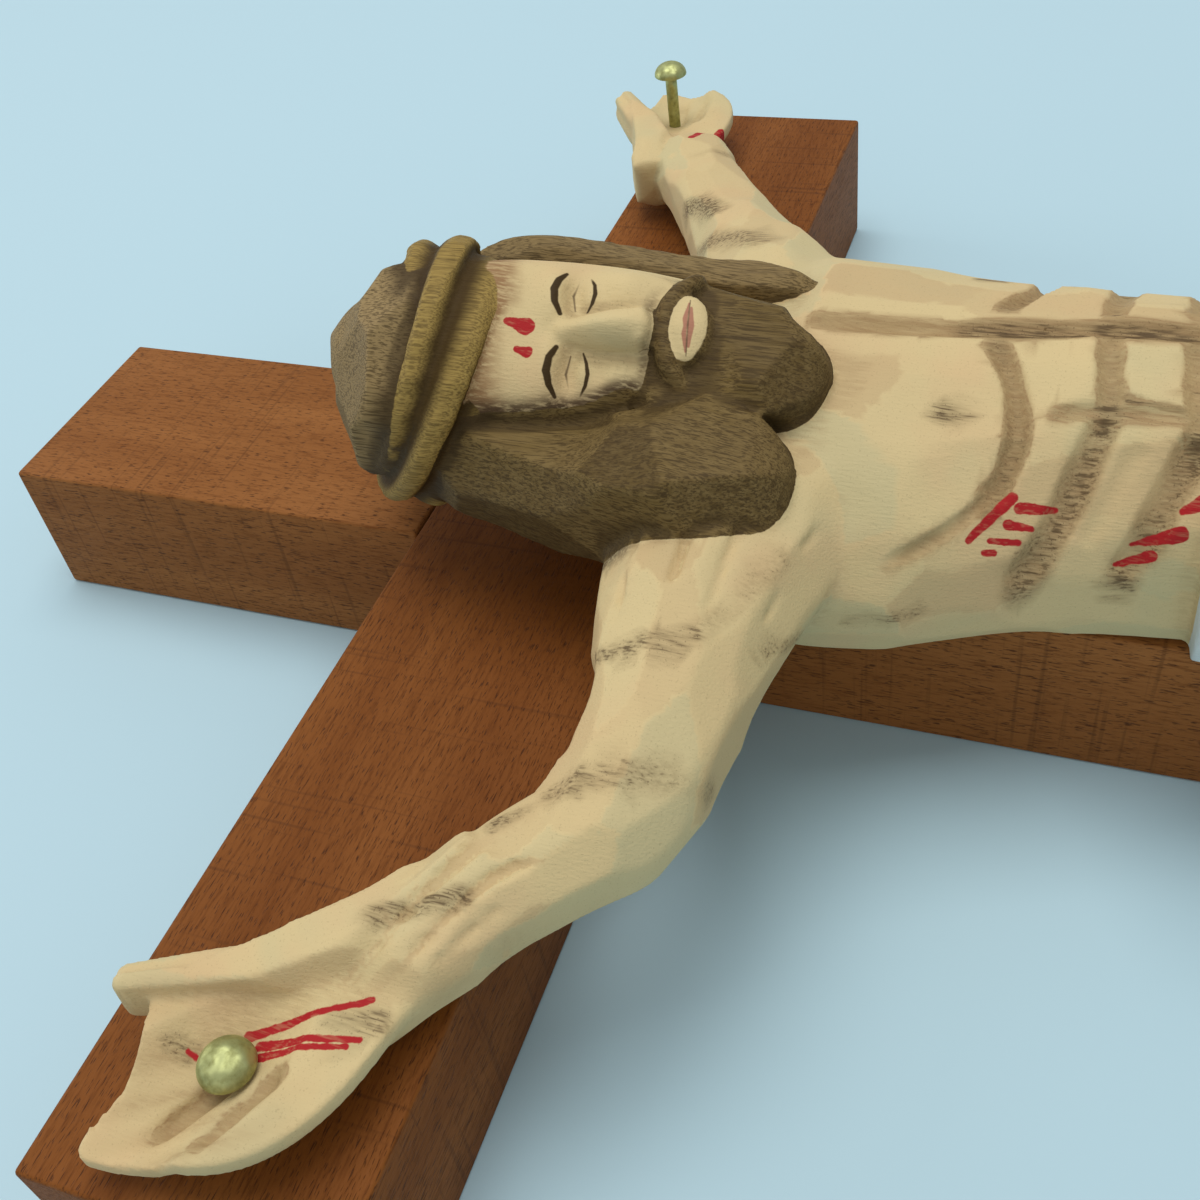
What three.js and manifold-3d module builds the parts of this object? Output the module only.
// A small wooden crucifix lying on its back: a cross of two lapped square-edged bars, a carved and
// painted figure cut from one block, and three brass round-head pins through its hands and feet.
// Millimetres. The origin is on the back of the cross, at the middle of the crossing. +Y runs
// towards the head, +X towards the figure's left hand, and +Z out of the front.
import * as THREE from "three";
import { LoftGeometry } from "three/addons/geometries/LoftGeometry.js";
import { mergeVertices } from "three/addons/utils/BufferGeometryUtils.js";
import Module from "manifold-3d";

const wasm = await Module();
wasm.setup();

// Bars of the cross
const BAR_WIDTH = 30;
const BAR_THICKNESS = 20;
const CROSSBAR_LENGTH = 190;
const TOP_ARM = 60;
const FOOT_ARM = 180;
const LAP_DEPTH = BAR_THICKNESS / 2;

// Clearance between pieces that touch, such as the lap, the figure's back and the pin holes
const CLEARANCE = 0.3;
const FIGURE_BACK = BAR_THICKNESS + CLEARANCE;

// Brass pins
const PIN_RADIUS = 0.9;
const PIN_LENGTH = 24;
const PIN_HEAD_RADIUS = 2.3;
const PIN_HEAD_HEIGHT = 1.7;
const PIN_POINT = 2.5;

// Where each pin stands, and the height of the flat underside of its head above the table
const RIGHT_PALM = { x: -83.8, y: -1.5, head: 26.2 };
const LEFT_PALM = { x: 80.5, y: 11.8, head: 33.4 };
const FEET = { x: 3.2, y: -158, head: 37.4 };

// The head: its middle, how far it turns and leans, and how far the forehead lifts
const HEAD_MIDDLE = new THREE.Vector3(-8, 0, 40);
const HEAD_TURN = THREE.MathUtils.degToRad(-32);
const HEAD_LEAN = THREE.MathUtils.degToRad(11);
const HEAD_LIFT = THREE.MathUtils.degToRad(3.5);

// Knife cuts on the trunk, and its middle line, which leans to the left below the crossing
const CUT_WIDTH = 2.2;
const CUT_DEPTH = 1;
const TRUNK_MIDDLE = -1.1;
const TRUNK_LEAN = 0.05;

// Height of each hand above the bar, before the palm is hollowed
const PALM_HEIGHT = 7.4;

// Size of a hand where it rests on the bar, as a share of its size at the palm
const UNDERCUT = 0.6;

// Each hand: where its fingers point, from +X towards +Y, on which side of them its thumb lies,
// how far the thumb spreads, and how far the other edge reaches
const RIGHT_HAND = { fingers: THREE.MathUtils.degToRad(143), thumbSide: -1, spread: 13.8, heel: 9.2 };
const LEFT_HAND = { fingers: THREE.MathUtils.degToRad(14), thumbSide: 1, spread: 10.2, heel: 9.6 };

const UP = new THREE.Vector3(0, 0, 1);
const TURN = Math.PI * 2;

// Solids from closed geometry, and geometry from solids
function solid(geometry, placement) {
  const bare = new THREE.BufferGeometry();
  const whole = geometry.index ? geometry.toNonIndexed() : geometry;
  bare.setAttribute("position", whole.getAttribute("position").clone());
  if (placement) bare.applyMatrix4(placement);
  const merged = mergeVertices(bare, 1e-4);
  const corners = [];
  const index = merged.index.array;
  for (let i = 0; i < index.length; i += 3) {
    const [a, b, c] = [index[i], index[i + 1], index[i + 2]];
    if (a !== b && b !== c && c !== a) corners.push(a, b, c);
  }
  return new wasm.Manifold(
    new wasm.Mesh({
      numProp: 3,
      vertProperties: new Float32Array(merged.attributes.position.array),
      triVerts: new Uint32Array(corners),
    }),
  );
}

function geometryOf(body) {
  const made = body.getMesh();
  const positions = new Float32Array(made.numVert * 3);
  for (let i = 0; i < made.numVert; i++) {
    const from = i * made.numProp;
    positions.set(made.vertProperties.subarray(from, from + 3), i * 3);
  }
  const geometry = new THREE.BufferGeometry();
  geometry.setAttribute("position", new THREE.BufferAttribute(positions, 3));
  geometry.setIndex(new THREE.BufferAttribute(new Uint32Array(made.triVerts), 1));
  return geometry;
}

function joined(bodies) {
  return bodies.reduce((sum, body) => sum.add(body));
}

// A smooth line through named rows of numbers, read at any share of its length
function throughRows(rows, first) {
  const points = rows.map((row) => new THREE.Vector3(row[first], row[first + 1], row[first + 2]));
  return new THREE.CatmullRomCurve3(points, false, "catmullrom", 0.5);
}

// A carved form: sections along a line, each an oval that may be squarer than an ellipse. A row is
// [x, y, z, side, front, back]: the middle of the section, then how far it reaches to each side,
// to the front and to the back. `relief` adds to the reach, from the angle and the share of length.
function carved(rows, options) {
  const { rings, sides, square = 2, round = 0.12, placement, relief = () => 0 } = options;
  const spine = throughRows(rows, 0);
  const reach = throughRows(rows, 3);
  const sections = [];
  for (let i = 0; i <= rings; i++) {
    const share = i / rings;
    const middle = spine.getPoint(share);
    const [side, front, back] = reach.getPoint(share).toArray();
    const along = spine.getTangent(share);
    const across = new THREE.Vector3().crossVectors(UP, along).normalize();
    const out = new THREE.Vector3().crossVectors(along, across);
    const fromEnd = Math.min(share, 1 - share);
    const shrink = fromEnd < round ? Math.sqrt(1 - (1 - fromEnd / round) ** 2 * 0.96) : 1;
    const section = [];
    for (let j = 0; j < sides; j++) {
      const angle = (j / sides) * TURN;
      const c = Math.cos(angle);
      const s = Math.sin(angle);
      const extra = relief(angle, share);
      const x = Math.sign(c) * Math.abs(c) ** (2 / square) * (side + extra) * shrink;
      const z = Math.sign(s) * Math.abs(s) ** (2 / square) * ((s > 0 ? front : back) + extra) * shrink;
      section.push(middle.clone().addScaledVector(across, x).addScaledVector(out, z));
    }
    sections.push(section);
  }
  return solid(new LoftGeometry(sections, { capStart: true, capEnd: true }), placement);
}

// The bars of the cross, each an outline extruded across its width
function barGeometry(outline, width) {
  const shape = new THREE.Shape(outline.map(([along, height]) => new THREE.Vector2(along, height)));
  return new THREE.ExtrudeGeometry(shape, { depth: width, bevelEnabled: false });
}

function uprightSolid() {
  const half = BAR_WIDTH / 2;
  const foot = -half - FOOT_ARM;
  const top = half + TOP_ARM;
  const notch = half + CLEARANCE;
  const outline = [
    [foot, 0],
    [top, 0],
    [top, BAR_THICKNESS],
    [notch, BAR_THICKNESS],
    [notch, LAP_DEPTH],
    [-notch, LAP_DEPTH],
    [-notch, BAR_THICKNESS],
    [foot, BAR_THICKNESS],
  ];
  const stand = new THREE.Matrix4().makeBasis(
    new THREE.Vector3(0, 1, 0),
    new THREE.Vector3(0, 0, 1),
    new THREE.Vector3(1, 0, 0),
  );
  stand.setPosition(-half, 0, 0);
  return solid(barGeometry(outline, BAR_WIDTH), stand).subtract(pinHole(FEET));
}

function crossbarSolid() {
  const half = CROSSBAR_LENGTH / 2;
  const notch = BAR_WIDTH / 2 + CLEARANCE;
  const outline = [
    [-half, 0],
    [-notch, 0],
    [-notch, LAP_DEPTH + CLEARANCE],
    [notch, LAP_DEPTH + CLEARANCE],
    [notch, 0],
    [half, 0],
    [half, BAR_THICKNESS],
    [-half, BAR_THICKNESS],
  ];
  const stand = new THREE.Matrix4().makeRotationX(Math.PI / 2);
  stand.setPosition(0, BAR_WIDTH / 2, 0);
  const bar = solid(barGeometry(outline, BAR_WIDTH), stand);
  return bar.subtract(pinHole(RIGHT_PALM)).subtract(pinHole(LEFT_PALM));
}

// Brass pins and their holes
function pinGeometry() {
  const profile = [
    new THREE.Vector2(0, -PIN_LENGTH),
    new THREE.Vector2(PIN_RADIUS, -PIN_LENGTH + PIN_POINT),
    new THREE.Vector2(PIN_RADIUS, 0),
  ];
  const dome = 4;
  for (let i = 0; i <= dome; i++) {
    const angle = ((i / dome) * Math.PI) / 2;
    const radius = i === dome ? 0 : PIN_HEAD_RADIUS * Math.cos(angle);
    profile.push(new THREE.Vector2(radius, PIN_HEAD_HEIGHT * Math.sin(angle)));
  }
  return new THREE.LatheGeometry(profile, 16).rotateX(Math.PI / 2);
}

function pinHole(place) {
  const length = PIN_LENGTH + 2 * CLEARANCE;
  const hole = new THREE.CylinderGeometry(PIN_RADIUS + CLEARANCE, PIN_RADIUS + CLEARANCE, length, 12);
  const lie = new THREE.Matrix4().makeRotationX(Math.PI / 2);
  lie.setPosition(place.x, place.y, place.head + CLEARANCE - length / 2);
  return solid(hole, lie);
}

// The body of the figure: chest, waist and hips, with a flat back
function trunk() {
  const rows = [
    [-5, 4, 35, 8, 7, 8],
    [-3, -6, 33, 13, 9, 12],
    [-1, -17, 30, 22, 14, 12],
    [0, -28, 28, 27, 18, 14],
    [0.6, -40, 27.3, 26, 18.7, 14],
    [1.4, -50, 27, 22.8, 19.2, 14],
    [2, -60, 27, 20.3, 19.6, 14],
    [2.5, -70, 27, 19.3, 19.6, 14],
    [2.6, -80, 27.5, 20, 18.8, 14],
    [2.6, -92, 28, 19, 17, 14],
    [2.6, -104, 29, 14, 12, 12],
  ];
  return carved(rows, { rings: 18, sides: 22, round: 0.06 });
}

// V-shaped cuts on the front of the trunk: the middle line, and on each side the edge of the chest,
// the belly's bands and the ribs. Each row is a point on the surface on the figure's right side.
function trunkCuts() {
  const middle = [
    [-0.8, -35, 46.2],
    [0.4, -48, 46.2],
    [0.8, -60, 46.7],
    [0.8, -70, 46.8],
  ];
  const sides = [
    [[-3, -49.6, 45.9], [-9, -52, 43.9], [-15, -52.2, 40.2], [-19.6, -49, 36.2], [-22.8, -43.6, 34.2]],
    [[0, -59, 46.5], [-6, -59.4, 45], [-10.4, -60.6, 42.8]],
    [[0, -67, 46.7], [-6, -67.7, 44.8], [-10, -68.4, 42.4]],
    [[-8.9, -54.4, 43.8], [-8.4, -61, 43.8], [-8, -68.6, 43.6]],
    [[-11, -58.6, 42.4], [-14.6, -56.8, 39.2], [-18.2, -54.8, 34.6], [-20.4, -52.6, 30.6]],
    [[-9.8, -64, 43], [-13.6, -62.2, 39.4], [-16.8, -60.4, 34.8], [-18.6, -58.6, 30.4]],
    [[-10.2, -69.6, 42], [-13.6, -67.6, 38.4], [-16, -66, 34.4], [-17.4, -64.4, 30.4]],
  ];
  const mirror = ([x, y, z]) => [2 * (TRUNK_MIDDLE - TRUNK_LEAN * y) - x, y, z];
  const mirrored = sides.map((points) => points.map(mirror));
  return joined([middle, ...sides, ...mirrored].map(cut));
}

// A knife cut along points on a surface, deepest at its middle
function cut(points) {
  const rows = points.map(([x, y, z]) => [x, y, z, CUT_WIDTH / 2, CUT_DEPTH, CUT_DEPTH]);
  return carved(rows, { rings: points.length + 1, sides: 4, round: 0.5 });
}

// Each arm runs from inside the shoulder to the wrist
function arm(rows) {
  return carved(rows, { rings: 14, sides: 10, square: 2.2, round: 0.05 });
}

function rightArm() {
  return arm([
    [-10, -29, 32, 15, 11, 11],
    [-26, -26.2, 32.4, 11.2, 9.4, 10],
    [-41, -25.9, 31, 8.3, 8, 8.4],
    [-53, -25.5, 28.8, 6.9, 6.6, 6.6],
    [-61.5, -18.4, 27.4, 5.9, 5.8, 5.8],
    [-69.5, -12.2, 26, 5.8, 5, 5.6],
    [-77.5, -6.4, 22.4, 4.6, 3, 4],
  ]);
}

function leftArm() {
  return arm([
    [8, -25, 33, 13, 11, 11],
    [22, -18.8, 32.4, 9.2, 9, 10],
    [33, -13.2, 31, 7.2, 7, 9],
    [44, -7.4, 29.4, 6.4, 6.2, 8],
    [55, -1.2, 27.8, 6, 5.6, 7],
    [65, 4.2, 26.4, 6.2, 4.8, 6],
    [74.5, 9, 22.4, 4.6, 3, 4],
  ]);
}

// An open hand, palm up: a plate that narrows towards the bar below it, a thumb along one side, a
// hollow palm and two scoops between the fingers. Its own frame stands on the bar at the pin, with
// +X along the fingers and, where `thumbSide` is +1, its thumb towards +Y.
function hand(place, { fingers, thumbSide, spread, heel }) {
  const placement = new THREE.Matrix4().makeRotationZ(fingers);
  placement.setPosition(place.x, place.y, BAR_THICKNESS);

  const outline = new THREE.Shape();
  outline.moveTo(-17, -4.2 * thumbSide);
  outline.lineTo(-8, (1.4 - heel) * thumbSide);
  outline.quadraticCurveTo(1, -(heel + 1.8) * thumbSide, 6.5, (3.2 - heel) * thumbSide);
  outline.lineTo(14.4, 2.6 * thumbSide);
  outline.quadraticCurveTo(5.4, 4.4 * thumbSide, 2.6, (spread - 4.2) * thumbSide);
  outline.lineTo(5, (spread - 1.4) * thumbSide);
  outline.lineTo(4, (spread - 0.2) * thumbSide);
  outline.quadraticCurveTo(-4, (spread - 2.6) * thumbSide, -12, 5 * thumbSide);
  outline.lineTo(-17, 3 * thumbSide);
  const chamfer = 0.9;
  const plateGeometry = new THREE.ExtrudeGeometry(outline, {
    depth: PALM_HEIGHT - 2 * chamfer,
    curveSegments: 4,
    bevelThickness: chamfer,
    bevelSize: chamfer,
    bevelOffset: -chamfer,
    bevelSegments: 1,
  });
  plateGeometry.translate(0, 0, chamfer);
  const position = plateGeometry.getAttribute("position");
  for (let i = 0; i < position.count; i++) {
    if (position.getZ(i) > PALM_HEIGHT / 2) continue;
    position.setXY(i, position.getX(i) * UNDERCUT, position.getY(i) * UNDERCUT);
  }

  const row = (x, y, z, side, front, back) => [x, y * thumbSide, z, side, front, back];
  const thumbRows = [
    row(-19, 1.6, 6, 3.8, 4, 4),
    row(-12, spread * 0.26, 6.8, 3.6, 4, 5),
    row(-4, spread * 0.55, 6.6, 3, 3.4, 4),
    row(5.4, spread - 1.8, 7, 2.2, 3, 3.4),
  ];
  const thumb = carved(thumbRows, { rings: 7, sides: 10, round: 0.08, placement });
  const whole = solid(plateGeometry, placement).add(thumb);

  const hollow = new THREE.SphereGeometry(1, 14, 10).scale(21, 7.6, 8.6);
  hollow.translate(8, 0.4 * thumbSide, 12.8);
  const scoops = [
    [3.6, -0.9, 4.7, -0.02],
    [0.4, -3, 4.9, 0.14],
  ].map(([x, y, z, turn]) => {
    const scoop = new THREE.SphereGeometry(1, 10, 6).scale(5, 0.9, 1);
    return scoop.rotateZ(-turn * thumbSide).translate(x, y * thumbSide, z);
  });
  return [hollow, ...scoops].reduce((body, tool) => body.subtract(solid(tool, placement)), whole);
}

// Legs: two bent limbs pressed together, the right foot crossed over the left
function rightLeg() {
  const rows = [
    [-6, -86, 31, 11, 13, 12],
    [-6.4, -98, 33, 10.4, 12, 13],
    [-7, -110, 35, 9.2, 10.5, 12],
    [-7.4, -121, 37.5, 8.2, 9.5, 11],
    [-6, -132, 36, 7.4, 8.4, 9],
    [-2.5, -143, 34, 6.4, 7, 7.4],
    [1, -152, 32.6, 5.2, 5.6, 6],
    [3.4, -160, 29.6, 5.8, 4.4, 5.4],
    [5.2, -171, 26.6, 5.4, 2.6, 4],
  ];
  return carved(rows, { rings: 16, sides: 10, square: 2.3, round: 0.05 });
}

function leftLeg() {
  const rows = [
    [10, -86, 31, 11, 12.6, 12],
    [10.2, -98, 32, 10.2, 11.8, 12],
    [10.2, -110, 33.6, 9, 10.4, 12],
    [10, -120, 35.6, 8.2, 9.2, 11],
    [8.6, -131, 33, 7.4, 8, 9],
    [6, -142, 29.4, 6.4, 6.6, 8],
    [3, -151, 26, 5.4, 5.2, 5.8],
    [0.6, -160, 23.4, 5.6, 3.6, 4],
    [-1.4, -169, 22, 5.2, 2, 3],
  ];
  return carved(rows, { rings: 16, sides: 10, square: 2.3, round: 0.05 });
}

// The loincloth: a wrap with slanting folds, a rolled upper edge, and a knot on the right hip
function loincloth() {
  const folds = (angle, share) => 0.75 * Math.sin(9 * angle + 9 * share) * Math.sin(Math.PI * share);
  const wrap = carved(
    [
      [2.5, -70.5, 27, 21, 20.6, 14],
      [2.5, -76, 27.2, 21.6, 20.8, 14],
      [2.5, -84, 27.6, 21.8, 20.6, 14],
      [2.4, -92, 28.4, 21, 20, 14],
      [2.2, -100, 30, 19, 18, 14],
      [2, -106, 31, 17.6, 16, 14],
    ],
    { rings: 9, sides: 30, square: 2.2, round: 0.02, relief: folds },
  );
  const roll = carved(
    [
      [23.5, -75, 25, 3, 2.6, 2.6],
      [17, -73.5, 42, 3, 2.4, 2.4],
      [2, -74, 48.2, 3.2, 2, 2.4],
      [-13, -74.5, 42, 3, 2.4, 2.4],
      [-20, -76, 26, 3, 2.6, 2.6],
    ],
    { rings: 12, sides: 8, round: 0.04 },
  );
  const knot = carved(
    [
      [-17.5, -72, 31, 3, 3.4, 3.4],
      [-21.5, -77, 31, 4.4, 4.6, 4.6],
      [-20, -82, 31, 3, 3.4, 3.4],
    ],
    { rings: 6, sides: 10, round: 0.35 },
  );
  const tail = carved(
    [
      [-20, -78, 30, 2.8, 3, 3.4],
      [-19.4, -88, 29, 3, 4.6, 5],
      [-17.4, -99, 28.4, 2.8, 5, 5.6],
      [-15.2, -108, 28.4, 2.2, 4.6, 5.4],
    ],
    { rings: 8, sides: 10, round: 0.06 },
  );
  return joined([wrap, roll, knot, tail]);
}

// The head's own frame: +X to its left, +Y to the crown, +Z out of the face
function headPlacement() {
  const crown = new THREE.Vector3(
    -Math.sin(HEAD_LEAN) * Math.cos(HEAD_LIFT),
    Math.cos(HEAD_LEAN) * Math.cos(HEAD_LIFT),
    Math.sin(HEAD_LIFT),
  );
  const level = new THREE.Vector3(Math.cos(HEAD_TURN), 0, -Math.sin(HEAD_TURN));
  const left = level.addScaledVector(crown, -level.dot(crown)).normalize();
  const face = new THREE.Vector3().crossVectors(left, crown);
  const placement = new THREE.Matrix4().makeBasis(left, crown, face);
  placement.setPosition(HEAD_MIDDLE);
  return placement;
}

// Cap and back of the hair, as one mass behind the face
function hairMass(placement) {
  const rows = [
    [2, 20.7, 3, 3.6, 3.4, 4],
    [1.4, 17.4, 2.4, 8.8, 8.6, 9],
    [-0.2, 13, 1.4, 11.4, 11.2, 11.6],
    [-1.6, 7, 0, 12, 11.6, 12.6],
    [-2.2, 0, -1, 12.8, 8.6, 12],
    [-2.6, -8, -1, 13.2, 8, 12],
    [-2.6, -16, 0, 12.8, 8, 12.4],
    [-2, -23, 2, 10, 7, 13],
  ];
  return carved(rows, { rings: 12, sides: 16, square: 2.3, round: 0.12, placement });
}

// The face block, between the locks of hair
function face(placement) {
  const rows = [
    [0, 9, 2, 9.6, 10.6, 6],
    [0, 3, 2, 10, 11, 6],
    [0, -5, 2, 10.2, 10.6, 6],
    [0, -13, 2, 9.4, 10.4, 6],
    [0, -21, 2, 7.4, 10, 6],
    [0, -25, 2, 5, 8.6, 6],
  ];
  const block = carved(rows, { rings: 10, sides: 18, square: 3, round: 0.06, placement });
  const nose = carved(
    [
      [0, -4.5, 11.4, 1.5, 1.4, 2],
      [0, -8, 12.2, 1.8, 2.2, 2],
      [0, -12, 12.8, 2.2, 3, 2],
      [0, -15.2, 12.4, 2.4, 2.8, 2],
    ],
    { rings: 5, sides: 8, square: 1.6, round: 0.16, placement },
  );
  return block.add(nose);
}

// Shallow furrows along hair and beard
function strands(angle) {
  return 0.35 * Math.cos(8 * angle);
}

// The beard: a rounded spade that lies on the chest, with a moustache above the mouth
function beard(placement) {
  const spade = carved(
    [
      [-0.8, -14, 8, 8.8, 5, 6],
      [-1.6, -20, 8.6, 8.4, 5.4, 8],
      [-2.6, -25, 9.6, 7.8, 5.6, 9],
      [-3.2, -29, 10.6, 6.2, 5, 9],
      [-3.4, -32.6, 11.4, 3.6, 3.2, 8],
    ],
    { rings: 8, sides: 18, square: 2.6, round: 0.16, placement, relief: strands },
  );
  const moustache = carved(
    [
      [-7.4, -19.5, 10.6, 1.4, 1.6, 2],
      [-3.8, -17, 12.2, 1.6, 1.8, 2],
      [0, -16.4, 12.8, 1.4, 1.6, 2],
      [3.8, -17, 12.2, 1.6, 1.8, 2],
      [7.4, -19.5, 10.6, 1.4, 1.6, 2],
    ],
    { rings: 8, sides: 6, round: 0.1, placement },
  );
  return spade.add(moustache);
}

// The long locks at each side of the face, down to the chest
function locks() {
  const right = carved(
    [
      [-15.5, 11, 38, 5, 5, 7],
      [-18.5, 2, 38, 6.4, 6.4, 8.4],
      [-20.6, -7, 37.6, 7.4, 7, 8.6],
      [-22, -16, 38.6, 8.6, 8.2, 9],
      [-21.8, -25, 40, 8.6, 8, 9],
      [-21.6, -33.2, 42, 5.6, 5, 8],
    ],
    { rings: 12, sides: 16, square: 2.3, round: 0.14, relief: strands },
  );
  const left = carved(
    [
      [5, 8, 43, 3.6, 5, 8],
      [5, -2, 42, 3.6, 4.6, 8],
      [5, -12, 41.6, 3.6, 4, 8],
      [6, -21, 42.4, 3.8, 4.6, 8],
      [5.6, -30, 43.6, 2, 2.6, 6],
    ],
    { rings: 9, sides: 10, square: 2.3, round: 0.08 },
  );
  return right.add(left);
}

// The crown: three thick strands twisted together, closed on themselves round the head
function crown(placement) {
  const stations = 36;
  const around = 12;
  const strands = 3;
  const twists = 4;
  const sections = [];
  for (let i = 0; i <= stations; i++) {
    const where = ((i % stations) / stations) * TURN;
    const c = Math.cos(where);
    const s = Math.sin(where);
    const middle = new THREE.Vector3(-0.4 + 11.6 * c, 10.4 + 0.2 * c - 4.8 * s, 0.6 + 11.4 * s);
    const out = new THREE.Vector3(c, 0, s);
    const section = [];
    for (let j = 0; j < around; j++) {
      const angle = (j / around) * TURN;
      const lobe = Math.abs(Math.cos((strands / 2) * (angle - (where * twists) / strands)));
      const reach = 0.74 + 0.26 * lobe;
      const point = middle.clone().addScaledVector(out, 3.4 * reach * Math.cos(angle));
      point.y += 5.6 * reach * Math.sin(angle);
      section.push(point);
    }
    sections.push(section);
  }
  return solid(new LoftGeometry(sections), placement);
}

// The whole figure, flat at the back, with a clearance hole for each pin
function figureSolid() {
  const head = headPlacement();
  const forms = joined([
    trunk().subtract(trunkCuts()),
    rightArm(),
    leftArm(),
    rightLeg(),
    leftLeg(),
    loincloth(),
    hairMass(head),
    face(head),
    beard(head),
    locks(),
    crown(head),
    hand(RIGHT_PALM, RIGHT_HAND),
    hand(LEFT_PALM, LEFT_HAND),
  ]);
  const below = new THREE.BoxGeometry(300, 400, 60).translate(0, 0, FIGURE_BACK - 30);
  return forms
    .subtract(solid(below))
    .subtract(pinHole(RIGHT_PALM))
    .subtract(pinHole(LEFT_PALM))
    .subtract(pinHole(FEET));
}

// Materials and the assembled group
function finish(colour, roughness, metalness) {
  return new THREE.MeshStandardMaterial({ color: colour, roughness, metalness, flatShading: true });
}

function named(name, geometry, material) {
  const mesh = new THREE.Mesh(geometry, material);
  mesh.name = name;
  return mesh;
}

const barWood = finish(0x9a4f30, 0.6, 0);
const paintedWood = finish(0xdcc193, 0.65, 0);
const brass = finish(0xb59b4a, 0.3, 1);

const crucifix = new THREE.Group();
crucifix.add(named("upright", geometryOf(uprightSolid()), barWood));
crucifix.add(named("crossbar", geometryOf(crossbarSolid()), barWood));
crucifix.add(named("figure", geometryOf(figureSolid()), paintedWood));

const pins = [
  ["nail_right_hand", RIGHT_PALM],
  ["nail_left_hand", LEFT_PALM],
  ["nail_feet", FEET],
];
for (const [name, place] of pins) {
  const pin = named(name, pinGeometry(), brass);
  pin.position.set(place.x, place.y, place.head);
  crucifix.add(pin);
}

export default crucifix;
